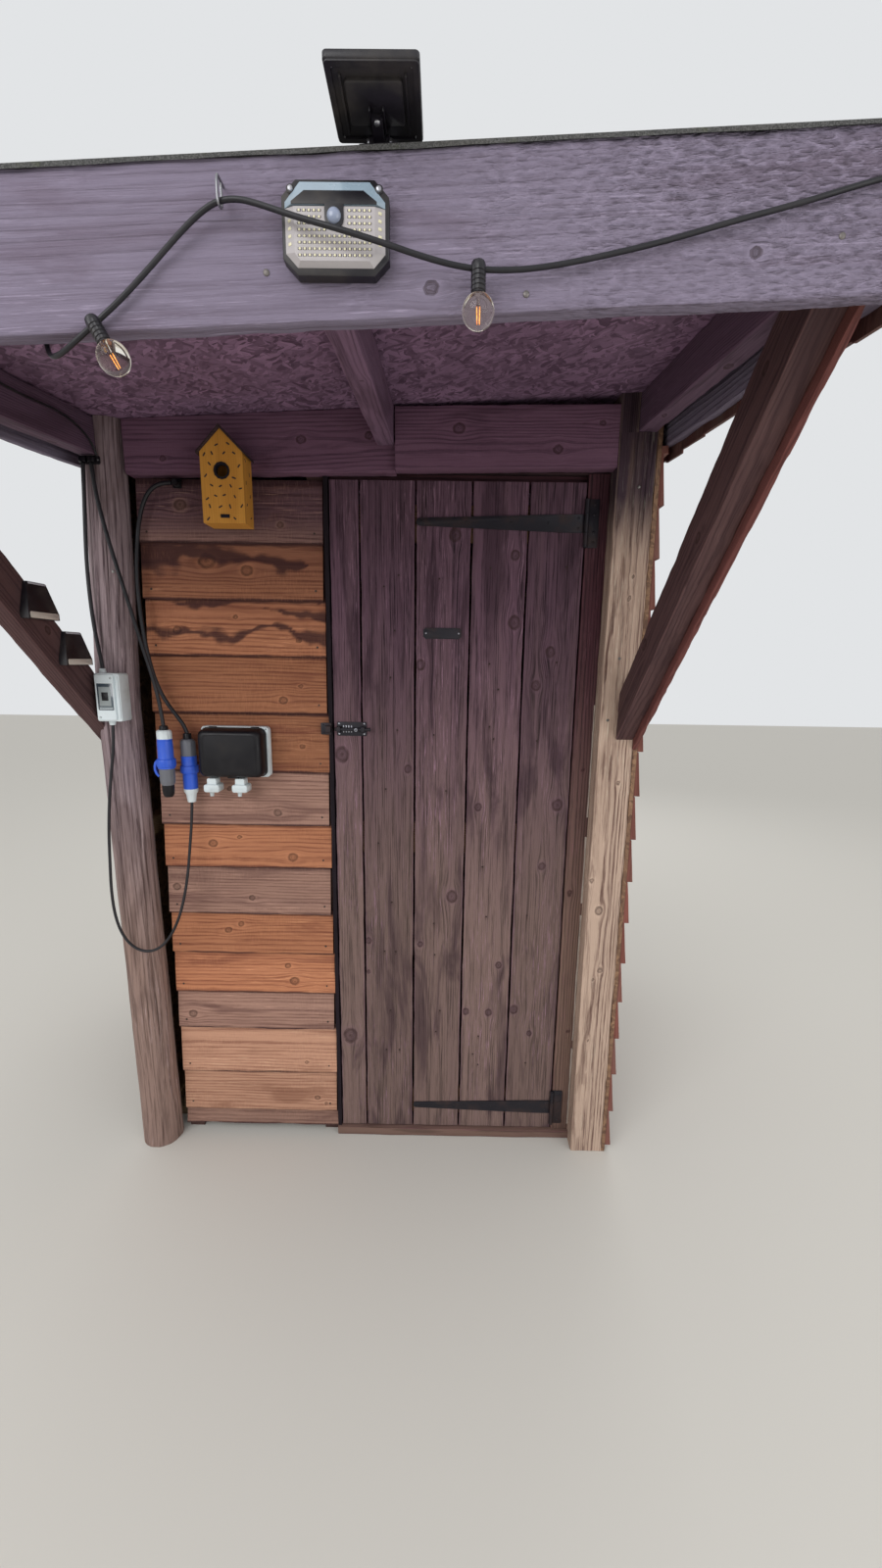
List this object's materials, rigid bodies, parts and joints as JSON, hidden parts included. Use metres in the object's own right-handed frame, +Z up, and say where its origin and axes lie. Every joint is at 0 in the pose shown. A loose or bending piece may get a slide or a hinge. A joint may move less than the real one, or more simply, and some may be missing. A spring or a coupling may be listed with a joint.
{
  "type": "timber outhouse",
  "caption": "Timber outhouse with a ledged door, lapped and shingled walls, a sloping canopy roof, a nest box, lamps and weatherproof wiring.",
  "frame": {"origin": "on the ground under the plane of the door's front face, on the sill's underside", "axes": "+X to the right along the front, +Y into the hut, +Z up"},
  "size_m": [1.5969, 2.1976, 2.3547],
  "materials": {
    "frame_timber": "rough sawn, weathered",
    "pole_timber": "debarked and weathered",
    "floor_timber": "planed",
    "sheathing": "pressed strand board",
    "roof_board": "stained strand board",
    "shingle": "split and weathered",
    "lap_board": "sawn, stained",
    "header_board": "sawn, stained",
    "door_board": "sawn, stained",
    "jamb_board": "sawn, stained",
    "fascia_board": "rough sawn, stained",
    "brace_timber": "sawn, stained",
    "roof_felt": "mineral felt",
    "black_iron": "satin black",
    "bright_steel": "dull plated",
    "yellow_board": "painted",
    "dark_board": "stained",
    "black_plastic": "moulded",
    "solar_glass": "smooth",
    "grey_plastic": "moulded",
    "blue_plastic": "moulded",
    "cable_black": "smooth",
    "lamp_glass": "clear"
  },
  "bodies": {
    "hut": {"floor": "floor_timber", "door_sill": "frame_timber", "left_post": "pole_timber", "right_post": "frame_timber", "back_posts": "frame_timber", "wall_rails": "frame_timber", "side_walls": "sheathing", "back_wall": "sheathing", "side_shingles": "shingle", "back_shingles": "shingle", "front_studs": "frame_timber", "front_cladding": "lap_board", "header_boards": "header_board", "lintel": "frame_timber", "door_frame": "jamb_board", "side_rafters": "brace_timber", "centre_rafters": "brace_timber", "fascia_boards": "fascia_board", "barge_boards": "fascia_board", "verge_strip": "shingle", "roof_deck": "roof_board", "roof_felt": "roof_felt", "left_brace": "brace_timber", "right_brace": "brace_timber", "brace_board": "shingle", "hinge_leaves": "black_iron", "bolt_keeper": "black_iron", "bird_box": "yellow_board", "bird_box_roof": "dark_board", "security_light": "black_plastic", "panel_bracket": "black_plastic", "wedge_lights": "black_plastic", "socket_box": "black_plastic", "socket_plugs": "grey_plastic", "couplers": "blue_plastic", "breaker_box": "grey_plastic", "cable_clips": "black_plastic", "supply_cables": "cable_black", "loop_cable": "cable_black", "eye_hook": "bright_steel", "festoon_cord": "cable_black", "lamp_holders": "black_plastic", "lamp_globes": "lamp_glass"},
    "door": {"door_boards": "door_board", "door_ledges": "door_board", "hinge_straps": "black_iron", "bolt_case": "black_iron", "sign_plate": "black_iron"},
    "bolt": {"bolt_bar": "black_iron"},
    "panel": {"solar_panel": "solar_glass"}
  },
  "joints": [
    {"name": "door_hinge", "type": "hinge", "parent": "hut", "child": "door", "pos_m": [0.5815, -0.0065, 0], "axis": [0, 0, 1], "range_deg": [0, 90]},
    {"name": "bolt_slide", "type": "slide", "parent": "door", "child": "bolt", "axis": [-1, 0, 0], "range_m": [0, 0.024]},
    {"name": "panel_tilt", "type": "hinge", "parent": "hut", "child": "panel", "pos_m": [0.129, -0.886, 2.122], "axis": [-1, 0, 0], "range_deg": [0, 45]}
  ]
}
